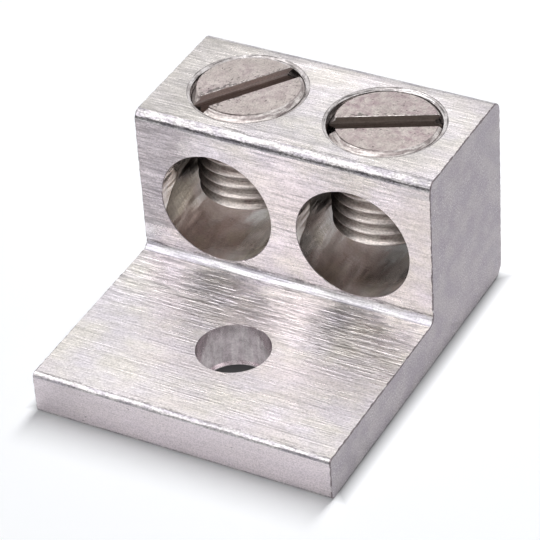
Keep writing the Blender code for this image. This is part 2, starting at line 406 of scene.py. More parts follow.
def make_screw(name, side, proud):
    """A headless screw, threaded all the way, with its origin in the plane of its top.

    Its slot still runs along X: it is turned once its faces have their metals.
    """
    outside = SCREW_RADIUS + CLEARANCE
    face = SCREW_RADIUS - SCREW_TOP_CHAMFER
    tip = SCREW_RADIUS - SCREW_TIP_CHAMFER
    break_end = 0.4 * SCREW_CORNER
    envelope = turned(
        "screw_envelope",
        (
            (tip - SCREW_CORNER, 0),
            (tip + break_end, break_end),
            (outside, outside - tip),
            (outside, SCREW_LENGTH - (outside - face)),
            (face + break_end, SCREW_LENGTH - break_end),
            (face - SCREW_CORNER, SCREW_LENGTH),
        ),
        first_side=0.5,
    )
    half = SLOT_WIDTH / 2
    reach = SCREW_RADIUS + OVERRUN
    floor = SCREW_LENGTH - SLOT_DEPTH
    bm = bmesh.new()
    outline = (
        (-half + SLOT_CORNER, floor),
        (half - SLOT_CORNER, floor),
        (half, floor + SLOT_CORNER),
        (half, SCREW_LENGTH - SLOT_EDGE),
        (half + SLOT_EDGE + OVERRUN, SCREW_LENGTH + OVERRUN),
        (-half - SLOT_EDGE - OVERRUN, SCREW_LENGTH + OVERRUN),
        (-half, SCREW_LENGTH - SLOT_EDGE),
        (-half, floor + SLOT_CORNER),
    )
    ends = [[bm.verts.new((x, y, z)) for y, z in outline] for x in (-reach, reach)]
    for end in ends:
        bm.faces.new(end)
    for index in range(len(outline)):
        after = (index + 1) % len(outline)
        bm.faces.new((ends[0][index], ends[0][after], ends[1][after], ends[1][index]))
    combine(envelope, add_object("slot_saw", bm), "DIFFERENCE")
    screw = helix_rod(
        name,
        SCREW_RADIUS - THREAD_DEPTH,
        SCREW_RADIUS,
        THREAD_CREST,
        THREAD_ROOT,
        0,
        SCREW_LENGTH,
    )
    combine(screw, envelope, "INTERSECT")
    for vert in screw.data.vertices:
        vert.co.z -= SCREW_LENGTH
    screw.location = (side * WIRE_WAY_X, SCREW_Y, BLOCK_HEIGHT + proud)
    return screw


def socket(tree, target, value):
    """Give an input a value, or a link when the value is another node's output."""
    if isinstance(value, bpy.types.NodeSocket):
        tree.links.new(value, target)
    elif value is not None:
        target.default_value = value


def add(tree, kind, *values, **settings):
    """A node with its attributes set, and its inputs filled in order."""
    node = tree.nodes.new("ShaderNode" + kind)
    for name, value in settings.items():
        setattr(node, name, value)
    for target, value in zip(node.inputs, values):
        socket(tree, target, value)
    return node


def grain(tree, size, detail=2.0, roughness=0.5, shift=0.0, turn=0.0):
    """Noise with features of about size (x, y, z), in metres, fixed to the object and
    turned about Z."""
    place = add(tree, "TexCoord").outputs["Object"]
    start = [shift * length for length in size]
    mapped = add(tree, "Mapping", place, start, (0, 0, turn), size, vector_type="TEXTURE")
    texture = add(tree, "TexNoise", mapped.outputs[0], None, 1.0, detail, roughness)
    return texture.outputs["Fac"]


def remap(tree, value, low, high, to_low, to_high):
    return add(tree, "MapRange", value, low, high, to_low, to_high).outputs[0]


def maths(tree, operation, *values):
    return add(tree, "Math", *values, operation=operation).outputs[0]


def minus(tree, first, second):
    return maths(tree, "SUBTRACT", first, second)


def blend_colour(tree, share, first, second, mode="MIX"):
    node = add(tree, "Mix", data_type="RGBA", blend_type=mode)
    socket(tree, node.inputs[0], share)
    for target, value in ((node.inputs[6], first), (node.inputs[7], second)):
        socket(tree, target, (*value, 1) if isinstance(value, tuple) else value)
    return node.outputs[2]


def graded(tree, value, low, high, first, second):
    """The first colour where a value is low, going over to the second where it is high."""
    return blend_colour(tree, remap(tree, value, low, high, 0, 1), first, second)


def new_material(name, metallic=1.0):
    """A material, bare metal unless told otherwise, with its nodes and its shader."""
    material = bpy.data.materials.new(name)
    material.use_nodes = True
    tree = material.node_tree
    shader = tree.nodes["Principled BSDF"]
    shader.inputs["Metallic"].default_value = metallic
    return material, tree, shader


def times(tree, *values):
    product = values[0]
    for value in values[1:]:
        product = maths(tree, "MULTIPLY", product, value)
    return product


def without(tree, *shares):
    """What is left of 1 when each share of it is taken away in turn."""
    return times(tree, *(minus(tree, 1.0, share) for share in shares))


def mixed(tree, *parts):
    """Weighted sum, from (value, weight) pairs."""
    total = None
    for value, weight in parts:
        share = maths(tree, "MULTIPLY", value, weight)
        total = share if total is None else maths(tree, "ADD", total, share)
    return total


def paint(tree, shader, tone, shade):
    """Colour a surface with a tone, darkened by a shade where 1 leaves it as it is."""
    socket(tree, shader.inputs["Base Color"], blend_colour(tree, 1.0, tone, shade, "MULTIPLY"))


def emboss(tree, shader, *layers):
    """Bumps laid one over another, each from (height, depth, strength)."""
    normal = None
    for height, depth, strength in layers:
        node = add(tree, "Bump")
        socket(tree, node.inputs["Strength"], strength)
        socket(tree, node.inputs["Distance"], depth)
        socket(tree, node.inputs["Height"], height)
        socket(tree, node.inputs["Normal"], normal)
        normal = node.outputs[0]
    socket(tree, shader.inputs["Normal"], normal)


def lines_round_x(tree, shader, amount):
    """Stretch the gloss across fine lines that run along X."""
    shader.inputs["Anisotropic"].default_value = amount
    tangent = add(tree, "Tangent", direction_type="RADIAL", axis="X")
    socket(tree, shader.inputs["Tangent"], tangent.outputs[0])


def where(tree):
    """The place on the object: x, y and z."""
    return add(tree, "SeparateXYZ", add(tree, "TexCoord").outputs["Object"]).outputs


def length_of(tree, first, second):
    """Length of a line from its two parts at right angles."""
    squares = maths(tree, "ADD", times(tree, first, first), times(tree, second, second))
    return maths(tree, "SQRT", squares)


def arc_grain(tree, x, y, size, shift):
    """Noise drawn out round Z: features of about size (round it, away from it)."""
    angle = maths(tree, "ARCTAN2", x, times(tree, y, -1.0))
    place = add(
        tree,
        "CombineXYZ",
        times(tree, angle, SCREW_RADIUS / size[0]),
        times(tree, length_of(tree, x, y), 1 / size[1]),
        shift,
    )
    return add(tree, "TexNoise", place.outputs[0], None, 1.0, 2.0, 0.6).outputs["Fac"]


def wavering(tree, distance, cloud, waver, *limits):
    """Remap a distance between limits that waver with a noise."""
    return remap(tree, mixed(tree, (distance, 1.0), (cloud, waver)), *limits)


def painted_crease_shade(tree):
    """Painted shade and dark reflection, along the ragged lines where the roundings run
    out: 1 beside them.
    """
    _, y, z = where(tree)
    ragged = grain(tree, (0.30 * MM, 0.12 * MM, 0.12 * MM), 2.0, 0.6, 21.0)
    ragged = minus(tree, ragged, 0.5)
    lines = []
    for line_y, line_z, darkness, missing in PAINTED_CREASE_LINES:
        away = length_of(tree, minus(tree, y, line_y), minus(tree, z, line_z))
        away = mixed(tree, (away, 1.0), (ragged, 3 * PAINTED_CREASE_WIDTH))
        line = remap(tree, away, 0.2 * PAINTED_CREASE_WIDTH, PAINTED_CREASE_WIDTH, darkness, 0)
        gap = grain(tree, (2.2 * MM, 0.5 * MM, 0.5 * MM), 3.0, 0.7, 30 + 400 * line_y)
        kept = remap(tree, gap, missing - 0.05, missing + 0.05, 0, 1)
        lines.append(times(tree, line, kept))
    return without(tree, *lines)


def extruded_metal():
    """Tinned extrusion: hairlines along X in clusters, a sparkle of plating, pale beige
    and lilac stains, and coarser streaks on the tongue near the block. Some places are
    darker: at the left of the block's front, and along the creases, this is painted shade."""
    material, tree, shader = new_material("extruded_metal")
    short_hair = grain(tree, (1.6 * MM, 0.17 * MM, 0.12 * MM), 2.0, 0.6)
    long_hair = grain(tree, (8 * MM, 0.20 * MM, 0.16 * MM), 2.5, 0.6, 3.7)
    band = grain(tree, (30 * MM, 1.6 * MM, 1.6 * MM), 2.0, 0.5, 8.1)
    cluster = grain(tree, (9 * MM, 3.5 * MM, 3.5 * MM), 2.0, 0.5, 4.3)
    speck = grain(tree, (0.18 * MM, 0.18 * MM, 0.15 * MM), 2.0, 0.7, 1.3)
    stain = grain(tree, (5 * MM, 3.2 * MM, 3.2 * MM), 3.0, 0.55, 5.2)
    blush = grain(tree, (8 * MM, 5 * MM, 5 * MM), 2.0, 0.5, 11.6)
    pit = grain(tree, (0.42 * MM, 0.22 * MM, 0.20 * MM), 1.0, 0.5, 14.8)
    streak = grain(tree, (2.6 * MM, 0.42 * MM, 0.36 * MM), 2.0, 0.6, 17.2)

    # Darker places: the left and right of the block's front, the left and back of its
    # top, and the left of the tongue. At the left of the block's front the darkness is
    # painted shade, standing for a darker reflection of the table beyond the tongue's left
    # end, and the hairlines there are stronger
    x, y, z = where(tree)
    on_front = times(
        tree,
        remap(tree, y, BLOCK_FRONT_Y, BLOCK_FRONT_Y + 0.3 * MM, 1, 0),
        remap(tree, z, 6.5 * MM, 8.5 * MM, 0, 1),
    )
    on_top = remap(tree, z, BLOCK_HEIGHT - 0.5 * MM, BLOCK_HEIGHT - 0.1 * MM, 0, 1)
    on_tongue = remap(tree, z, 5 * MM, 6 * MM, 1, 0)
    # Painted shade, with stronger hairlines, at the left of the block's front
    front_left_shade_and_streaks = wavering(tree, x, stain, 6 * MM, -8.2 * MM, -6.2 * MM, 1, 0)
    front_left_shade_and_streaks = times(tree, front_left_shade_and_streaks, on_front)
    front_right = wavering(tree, x, stain, 6 * MM, 14 * MM, 16.5 * MM, 0, 1)
    front_right = times(tree, front_right, on_front)
    top_left = wavering(tree, x, stain, 8 * MM, -9 * MM, 1 * MM, 1, 0)
    top_left = times(tree, top_left, on_top)
    top_back = wavering(tree, y, blush, 3 * MM, 15.5 * MM, 18 * MM, 0, 1)
    top_back = times(tree, top_back, on_top)
    tongue_left = wavering(tree, x, blush, 8 * MM, -8 * MM, -2 * MM, 1, 0)
    tongue_left = times(tree, tongue_left, on_tongue)

    tone = graded(tree, stain, 0.36, 0.64, (0.835, 0.785, 0.83), (0.86, 0.815, 0.775))
    tone = blend_colour(tree, remap(tree, blush, 0.45, 0.70, 0, 0.6), tone, (0.865, 0.79, 0.80))
    tone = blend_colour(tree, times(tree, top_left, 0.6), tone, (0.84, 0.795, 0.755))
    tone = blend_colour(tree, times(tree, front_left_shade_and_streaks, 0.7), tone, (0.85, 0.75, 0.79))
    at_tip = remap(tree, y, TIP_Y, TIP_Y + 0.4 * MM, 0.8, 0)
    tone = blend_colour(tree, at_tip, tone, (0.81, 0.725, 0.76))

    # Hairlines, plainer at the right of the block's front and on the tongue's far half
    hair = mixed(tree, (short_hair, 0.55), (long_hair, 0.45))
    plain = without(tree, times(tree, front_right, 0.6))
    contrast = remap(tree, cluster, 0.38, 0.62, 0.55, 1.1)
    contrast = times(
        tree,
        maths(tree, "ADD", contrast, times(tree, front_left_shade_and_streaks, 0.6)),
        plain,
        remap(tree, y, TIP_Y, TIP_Y + 0.4 * MM, 0.4, 1.0),
        remap(tree, y, BLOCK_FRONT_Y - 12 * MM, BLOCK_FRONT_Y - 6 * MM, 0.65, 1.0),
    )
    lined = maths(tree, "MULTIPLY_ADD", minus(tree, hair, 0.5), contrast, 0.5)

    # Streaks, strongest on the tongue near the block
    upright = remap(tree, z, TONGUE_THICKNESS + 0.6 * MM, TONGUE_THICKNESS + MM, 0, 1)
    near_block = remap(tree, y, BLOCK_FRONT_Y - 11 * MM, BLOCK_FRONT_Y - 5 * MM, 0.06, 1)
    drawn = minus(tree, near_block, mixed(tree, (upright, 0.55), (on_top, 0.20)))
    streaked = times(tree, minus(tree, streak, 0.5), drawn, plain)

    shade = times(
        tree,
        remap(tree, lined, 0.41, 0.57, 0.74, 1.08),
        remap(tree, streaked, -0.14, 0.14, 0.76, 1.24),
        remap(tree, speck, 0.36, 0.60, 0.80, 1.06),
        remap(tree, band, 0.35, 0.65, 0.95, 1.0),
        remap(tree, pit, 0.20, 0.27, 0.50, 1.0),
        remap(tree, front_left_shade_and_streaks, 0.0, 1.0, 1.0, 0.71),
        remap(tree, front_right, 0.0, 1.0, 1.0, 0.84),
        remap(tree, top_left, 0.0, 1.0, 1.0, 0.80),
        remap(tree, top_back, 0.0, 1.0, 1.0, 0.86),
        remap(tree, tongue_left, 0.0, 1.0, 1.0, 0.88),
    )
    # Painted shade along the creases, where the roundings run out
    shade = times(tree, maths(tree, "MINIMUM", shade, 1.06), painted_crease_shade(tree))
    paint(tree, shader, tone, shade)
    socket(tree, shader.inputs["Roughness"], remap(tree, lined, 0.38, 0.62, 0.34, 0.25))
    lines_round_x(tree, shader, 0.75)
    emboss(
        tree,
        shader,
        (lined, 0.060 * MM, 1.0),
        (long_hair, 0.035 * MM, 1.0),
        (streaked, 0.13 * MM, 1.0),
        (speck, 0.030 * MM, 1.0),
    )
    return material


def fillet_metal():
    """Inner fillet: duller and more lilac than the rest, with lines along it. Its tone is
    darker than the flats', painted shade that tempers the front lamp's highlight on it.
    """
    material, tree, shader = new_material("fillet_metal")
    hair = grain(tree, (5 * MM, 0.20 * MM, 0.20 * MM), 2.0, 0.6, 6.1)
    speck = grain(tree, (0.20 * MM, 0.18 * MM, 0.18 * MM), 2.0, 0.7, 2.3)
    cloud = grain(tree, (4 * MM, 1 * MM, 1 * MM), 2.0, 0.5, 9.9)
    # Painted shade: a darker tone than the flats, against the front lamp's highlight
    tone = graded(tree, cloud, 0.4, 0.6, (0.66, 0.635, 0.69), (0.74, 0.72, 0.735))
    shade = times(
        tree,
        remap(tree, hair, 0.38, 0.60, 0.66, 1.12),
        remap(tree, speck, 0.36, 0.60, 0.80, 1.06),
        painted_crease_shade(tree),
    )
    paint(tree, shader, tone, shade)
    socket(tree, shader.inputs["Roughness"], remap(tree, cloud, 0.35, 0.65, 0.54, 0.44))
    emboss(tree, shader, (hair, 0.09 * MM, 1.0), (speck, 0.024 * MM, 1.0))
    return material


def corner_painted_shade_metal():
    """Rounded corners of the extrusion, with a few nicks. Their tone is darker than the
    flats': painted shade that tempers the front lamp's highlight on them.
    """
    material, tree, shader = new_material("corner_painted_shade_metal")
    hair = grain(tree, (4 * MM, 0.14 * MM, 0.14 * MM), 2.0, 0.6, 2.4)
    speck = grain(tree, (0.24 * MM, 0.18 * MM, 0.18 * MM), 2.0, 0.65, 6.6)
    wave = grain(tree, (1.6 * MM, 0.5 * MM, 0.5 * MM), 2.0, 0.5, 9.2)
    # Painted shade: a darker tone than the flats, against the front lamp's highlight
    tone = graded(tree, wave, 0.4, 0.6, (0.46, 0.43, 0.465), (0.63, 0.60, 0.60))
    shade = times(
        tree,
        remap(tree, speck, 0.36, 0.58, 0.66, 1.10),
        remap(tree, hair, 0.36, 0.58, 0.74, 1.08),
        painted_crease_shade(tree),
    )
    paint(tree, shader, tone, shade)
    socket(tree, shader.inputs["Roughness"], remap(tree, speck, 0.35, 0.65, 0.42, 0.30))
    lines_round_x(tree, shader, 0.2)
    emboss(tree, shader, (speck, 0.022 * MM, 1.0), (wave, 0.07 * MM, 0.8))
    return material


def nicked_metal():
    """Broken edges of the saw cuts, the drilled mouths and the bolt hole's rim: dark
    burrs with bright nicks between them."""
    material, tree, shader = new_material("nicked_metal")
    nick = grain(tree, (0.5 * MM, 0.5 * MM, 0.5 * MM), 3.0, 0.7, 1.7)
    fleck = grain(tree, (0.15 * MM, 0.15 * MM, 0.15 * MM), 2.0, 0.6, 8.8)
    tone = graded(tree, nick, 0.57, 0.70, (0.22, 0.19, 0.20), (0.74, 0.72, 0.72))
    paint(tree, shader, tone, remap(tree, fleck, 0.3, 0.6, 0.75, 1.05))
    socket(tree, shader.inputs["Roughness"], remap(tree, nick, 0.45, 0.6, 0.5, 0.25))
    emboss(tree, shader, (fleck, 0.02 * MM, 1.0))
    return material


def cut_metal():
    """Saw-cut ends: matt, lilac grey, with faint saw lines and a frosted grain. Their dark
    tone is partly their own and partly painted shade, for the dimmer table they reflect.
    """
    material, tree, shader = new_material("cut_metal")
    saw = grain(tree, (1 * MM, 7 * MM, 0.30 * MM), 2.0, 0.6)
    fleck = grain(tree, (0.16 * MM, 0.16 * MM, 0.16 * MM), 3.0, 0.7, 2.2)
    frost = grain(tree, (4 * MM, 4 * MM, 4 * MM), 2.0, 0.5, 9.4)
    cloud = grain(tree, (2.5 * MM, 2.5 * MM, 2.5 * MM), 3.0, 0.5, 6.4)
    # Dark tone: partly the cut ends' own, partly painted shade
    tone = graded(tree, cloud, 0.38, 0.62, (0.36, 0.325, 0.355), (0.435, 0.40, 0.415))
    sparkle = remap(tree, fleck, 0.60, 0.72, 0.0, 1.0)
    sparkle = times(tree, sparkle, remap(tree, frost, 0.48, 0.60, 0.15, 1.0))
    tone = blend_colour(tree, sparkle, tone, (0.86, 0.85, 0.86))
    shade = times(
        tree,
        remap(tree, fleck, 0.34, 0.60, 0.74, 1.18),
        remap(tree, saw, 0.3, 0.7, 0.95, 1.02),
    )
    paint(tree, shader, tone, shade)
    socket(tree, shader.inputs["Roughness"], remap(tree, cloud, 0.3, 0.7, 0.44, 0.54))
    emboss(tree, shader, (fleck, 0.024 * MM, 1.0), (saw, 0.012 * MM, 0.5))
    return material


def drilled_metal():
    """Walls of the wire ways: smooth, smeared along the way, under brown, uneven plating.
    A pale wedge at the left of each mouth is a painted reflection. The walls are darker
    further in, high up and on the left wall, and more in the right way: painted shade."""
    material, tree, shader = new_material("drilled_metal")
    ring = grain(tree, (50 * MM, 0.30 * MM, 50 * MM), 3.0, 0.7)
    smear = grain(tree, (1.5 * MM, 6 * MM, 1.5 * MM), 1.5, 0.6, 4.4)
    cloud = grain(tree, (2.4 * MM, 3 * MM, 2.4 * MM), 2.0, 0.5, 7.3)
    olive = grain(tree, (3 * MM, 4 * MM, 3 * MM), 2.0, 0.5, 12.7)
    fleck = grain(tree, (0.20 * MM, 0.20 * MM, 0.20 * MM), 2.0, 0.65, 7.7)

    # The place in the way: aside of its axis, above it, and inward from the nearest mouth
    x, y, z = where(tree)
    aside = minus(tree, x, times(tree, maths(tree, "SIGN", x), WIRE_WAY_X))
    above = minus(tree, z, WIRE_WAY_Z)
    inward = maths(tree, "ABSOLUTE", minus(tree, y, BACK_Y - BLOCK_DEPTH / 2))
    inward = mixed(tree, (inward, -1.0), (smear, 1.2 * MM))
    inward = maths(tree, "ADD", inward, BLOCK_DEPTH / 2 - 0.6 * MM)
    left = remap(tree, aside, -2.5 * MM, 0.5 * MM, 1, 0)
    right = without(tree, left)

    # How far in the painted wedge reaches, furthest just above the middle
    reach = maths(
        tree,
        "MINIMUM",
        remap(tree, above, -2.2 * MM, 0.2 * MM, -0.6 * MM, 3.2 * MM),
        remap(tree, above, 1.0 * MM, 4.8 * MM, 3.2 * MM, 0.2 * MM),
    )
    painted_wedge = times(tree, remap(tree, minus(tree, reach, inward), 0, 0.4 * MM, 0, 1), left)

    # Painted shade, as shares of the light that are lost, more in the right way: in the
    # wedge, high up, on the left wall, and on the right wall further in
    beyond = without(tree, painted_wedge)
    painted_wedge_loss = times(tree, painted_wedge, remap(tree, x, -MM, MM, 0.05, 0.35))
    high_loss = times(
        tree,
        beyond,
        remap(tree, inward, 0.8 * MM, 3.0 * MM, 0, 1),
        remap(tree, above, -1.0 * MM, 2.5 * MM, 0, 0.85),
    )
    left_loss = times(tree, beyond, left, remap(tree, above, -5.2 * MM, -1.0 * MM, 0, 0.46))
    right_loss = times(
        tree,
        right,
        remap(tree, x, -MM, MM, 0.32, 0.68),
        remap(tree, inward, 1.2 * MM, 3.4 * MM, 0, 1),
    )

    mix = mixed(tree, (smear, 0.55), (cloud, 0.45))
    tone = graded(tree, mix, 0.42, 0.58, (0.80, 0.685, 0.65), (1.0, 0.95, 0.925))
    tone = blend_colour(tree, remap(tree, olive, 0.48, 0.62, 0, 0.6), tone, (0.80, 0.75, 0.64))
    # Painted reflection: the wedge's pale tone
    tone = blend_colour(tree, times(tree, painted_wedge, 0.6), tone, (0.92, 0.88, 0.85))
    shade = times(
        tree,
        remap(tree, ring, 0.35, 0.65, 0.94, 1.03),
        remap(tree, fleck, 0.36, 0.60, 0.90, 1.05),
        # Painted shade: darker further in, and towards the right in the right way
        remap(tree, inward, 2.0 * MM, 6.0 * MM, 1.0, 0.52),
        remap(tree, x, 1.5 * MM, 7.0 * MM, 1.0, 0.80),
        without(tree, painted_wedge_loss, high_loss, left_loss, right_loss),
    )
    paint(tree, shader, tone, shade)
    mouth = times(tree, right, remap(tree, inward, 1.0 * MM, 2.6 * MM, 1, 0))
    rough = remap(tree, cloud, 0.35, 0.65, 0.28, 0.14)
    rough = maths(tree, "ADD", rough, mixed(tree, (painted_wedge, 0.10), (mouth, 0.26)))
    socket(tree, shader.inputs["Roughness"], rough)

    # The wedge is flared towards the mouth
    emboss(
        tree,
        shader,
        (times(tree, inward, 1 / MM), 0.8 * MM, times(tree, painted_wedge, 0.9)),
        (ring, 0.010 * MM, 1.0),
        (fleck, 0.010 * MM, 1.0),
        (smear, 0.22 * MM, 0.8),
    )
    return material


def punched_metal():
    """Wall of the bolt hole: smooth, with faint upright drag lines, darker near the top."""
    material, tree, shader = new_material("punched_metal")
    drag = grain(tree, (0.8 * MM, 0.8 * MM, 8 * MM), 3.0, 0.6)
    cloud = grain(tree, (1.5 * MM, 1.5 * MM, 1.5 * MM), 2.0, 0.6, 5.5)
    fleck = grain(tree, (0.18 * MM, 0.18 * MM, 0.20 * MM), 2.0, 0.65, 2.9)
    tone = graded(tree, drag, 0.40, 0.60, (0.72, 0.635, 0.67), (0.91, 0.84, 0.86))
    shade = times(
        tree,
        remap(tree, fleck, 0.36, 0.60, 0.86, 1.06),
        remap(tree, cloud, 0.36, 0.64, 0.76, 1.06),
        remap(tree, where(tree)[2], TONGUE_THICKNESS - 2 * MM, TONGUE_THICKNESS, 1.0, 0.74),
    )
    paint(tree, shader, tone, shade)
    socket(tree, shader.inputs["Roughness"], remap(tree, cloud, 0.3, 0.7, 0.30, 0.20))
    emboss(tree, shader, (drag, 0.035 * MM, 0.8), (fleck, 0.012 * MM, 1.0))
    return material


def tapped_metal():
    """Countersunk rims and tapped holes: turned bright, with dark arcs and blotches, and
    a dark outer rim with gaps, painted shade in the crease there."""
    material, tree, shader = new_material("tapped_metal")
    turn = grain(tree, (4 * MM, 4 * MM, 0.08 * MM), 2.0, 0.6)
    fleck = grain(tree, (0.30 * MM, 0.30 * MM, 0.15 * MM), 2.0, 0.65, 5.9)
    blotch = grain(tree, (1.3 * MM, 1.3 * MM, 1.3 * MM), 3.0, 0.6, 3.2)
    gap = grain(tree, (2.0 * MM, 2.0 * MM, 2.0 * MM), 2.0, 0.6, 6.2)
    tone = graded(tree, blotch, 0.40, 0.58, (0.48, 0.44, 0.435), (0.80, 0.76, 0.76))
    x, y, _ = where(tree)
    aside = minus(tree, maths(tree, "ABSOLUTE", x), WIRE_WAY_X)
    behind = minus(tree, y, SCREW_Y)
    radius = length_of(tree, aside, behind)
    radius = mixed(tree, (radius, 1.0), (minus(tree, fleck, 0.5), 0.2 * MM))
    # Painted shade: a broken dark line in the crease at the countersink's outer rim
    rim = remap(tree, radius, COUNTERSINK_RADIUS - 0.12 * MM, COUNTERSINK_RADIUS, 0, 0.6)
    rim = times(tree, rim, remap(tree, gap, 0.38, 0.52, 0, 1))
    shift = remap(tree, x, -MM, MM, 4.6, 9.7)
    arc = arc_grain(tree, aside, behind, (2.6 * MM, 0.16 * MM), shift)
    shade = times(
        tree,
        remap(tree, turn, 0.3, 0.7, 0.90, 1.0),
        remap(tree, fleck, 0.36, 0.60, 0.80, 1.06),
        remap(tree, arc, 0.40, 0.47, 0.34, 1.0),
        without(tree, rim),
    )
    paint(tree, shader, tone, shade)
    socket(tree, shader.inputs["Roughness"], remap(tree, blotch, 0.4, 0.6, 0.38, 0.20))
    emboss(
        tree,
        shader,
        (turn, 0.012 * MM, 0.8),
        (arc, 0.06 * MM, 0.8),
        (fleck, 0.040 * MM, 1.0),
    )
    return material


def screw_face_metal(hand, turn):
    """Flats of a screw's top and tip: dull warm plating, mottled, with pits and short
    scratches, and dark burrs round the rim and along the slot, mostly in one place."""
    material, tree, shader = new_material(f"screw_face_{hand}")
    if hand == "left":
        shift, pink, burrs_at, burrs_reach = 3.0, (0.48, 0.40, 0.40), -2.8 * MM, 3.6 * MM
    else:
        shift, pink, burrs_at, burrs_reach = 17.0, (0.45, 0.35, 0.365), -2.3 * MM, 1.0 * MM
    cloud = grain(tree, (1.0 * MM, 1.0 * MM, 1.0 * MM), 3.0, 0.6, shift)
    wash = grain(tree, (3.5 * MM, 3.5 * MM, 3.5 * MM), 1.0, 0.5, shift + 5.5)
    fleck = grain(tree, (0.18 * MM, 0.20 * MM, 0.18 * MM), 2.0, 0.7, shift + 0.3)
    scratch = grain(tree, (2.2 * MM, 0.12 * MM, 1 * MM), 2.0, 0.6, shift + 3.1, turn + 0.9)
    pit = grain(tree, (0.45 * MM, 0.30 * MM, 0.30 * MM), 2.0, 0.6, shift + 8.3, turn)
    burr = grain(tree, (0.45 * MM, 0.34 * MM, 0.34 * MM), 2.0, 0.7, shift + 2.7, turn)

    x, y, z = where(tree)
    face_radius = SCREW_RADIUS - SCREW_TOP_CHAMFER
    rim = remap(
        tree, length_of(tree, x, y), face_radius - 0.176 * MM, face_radius - 0.016 * MM, 0, 1
    )
    off = mixed(tree, (y, math.cos(turn)), (x, -math.sin(turn)))
    along = mixed(tree, (x, math.cos(turn)), (y, math.sin(turn)))
    near = times(
        tree,
        remap(
            tree,
            maths(tree, "ABSOLUTE", minus(tree, along, burrs_at)),
            0.4 * burrs_reach,
            burrs_reach,
            1,
            0.35,
        ),
        remap(tree, off, 0, 0.5 * MM, 0.5, 1.0),
    )
    from_slot = minus(tree, maths(tree, "ABSOLUTE", off), SLOT_WIDTH / 2)
    side = remap(tree, from_slot, 0.05 * MM, 0.9 * MM, 1, 0)
    edge = maths(tree, "MAXIMUM", times(tree, rim, 0.5), times(tree, side, near))
    ragged = remap(tree, mixed(tree, (burr, 1.0), (edge, 0.30)), 0.66, 0.70, 0, 1)

    tone = graded(tree, cloud, 0.38, 0.60, pink, (0.635, 0.57, 0.545))
    tone = blend_colour(tree, remap(tree, wash, 0.42, 0.60, 0, 0.5), tone, (0.53, 0.475, 0.445))
    # Painted light: the tip's flat, deep in the wire way, is given a paler tone
    at_tip = remap(tree, z, -SCREW_LENGTH, MM - SCREW_LENGTH, 1, 0)
    tone = blend_colour(tree, at_tip, tone, (0.84, 0.74, 0.71))
    shade = times(
        tree,
        remap(tree, fleck, 0.36, 0.60, 0.84, 1.10),
        remap(tree, scratch, 0.31, 0.38, 0.74, 1.0),
        remap(tree, pit, 0.29, 0.33, 0.42, 1.0),
        remap(tree, ragged, 0.0, 1.0, 1.0, 0.42),
    )
    paint(tree, shader, tone, shade)
    socket(tree, shader.inputs["Roughness"], remap(tree, cloud, 0.3, 0.7, 0.36, 0.48))
    emboss(
        tree,
        shader,
        (fleck, 0.020 * MM, 1.0),
        (scratch, 0.030 * MM, 0.7),
        (ragged, 0.020 * MM, 0.7),
    )
    return material


def screw_thread_metal():
    """Threads and chamfers of the screws: bright on the worn crests, brown in the roots,
    and blotched round the top."""
    material, tree, shader = new_material("screw_thread_metal")
    x, y, z = where(tree)
    radius = length_of(tree, x, y)
    worn = remap(tree, radius, SCREW_RADIUS - 0.45 * MM, SCREW_RADIUS - 0.03 * MM, 0, 1)
    rim = remap(tree, z, -0.9 * MM, -0.3 * MM, 0, 1)
    turn = grain(tree, (6 * MM, 6 * MM, 0.10 * MM), 2.0, 0.65)
    fleck = grain(tree, (0.24 * MM, 0.24 * MM, 0.14 * MM), 2.0, 0.65, 4.1)
    grime = grain(tree, (1.4 * MM, 1.4 * MM, 1.0 * MM), 2.0, 0.5, 7.9)
    blotch = arc_grain(tree, x, y, (1.6 * MM, 0.22 * MM), 8.7)
    bare = graded(tree, grime, 0.4, 0.6, (0.40, 0.335, 0.31), (0.54, 0.49, 0.455))
    tone = blend_colour(tree, worn, bare, (0.66, 0.605, 0.58))
    ring = graded(tree, blotch, 0.42, 0.58, (0.36, 0.31, 0.305), (0.76, 0.71, 0.69))
    tone = blend_colour(tree, rim, tone, ring)
    shade = times(
        tree,
        remap(tree, fleck, 0.36, 0.60, 0.76, 1.08),
        remap(tree, turn, 0.36, 0.60, 0.72, 1.06),
    )
    paint(tree, shader, tone, shade)
    socket(tree, shader.inputs["Roughness"], remap(tree, worn, 0, 1, 0.50, 0.32))
    emboss(tree, shader, (turn, 0.05 * MM, 1.0), (fleck, 0.024 * MM, 1.0))
    return material


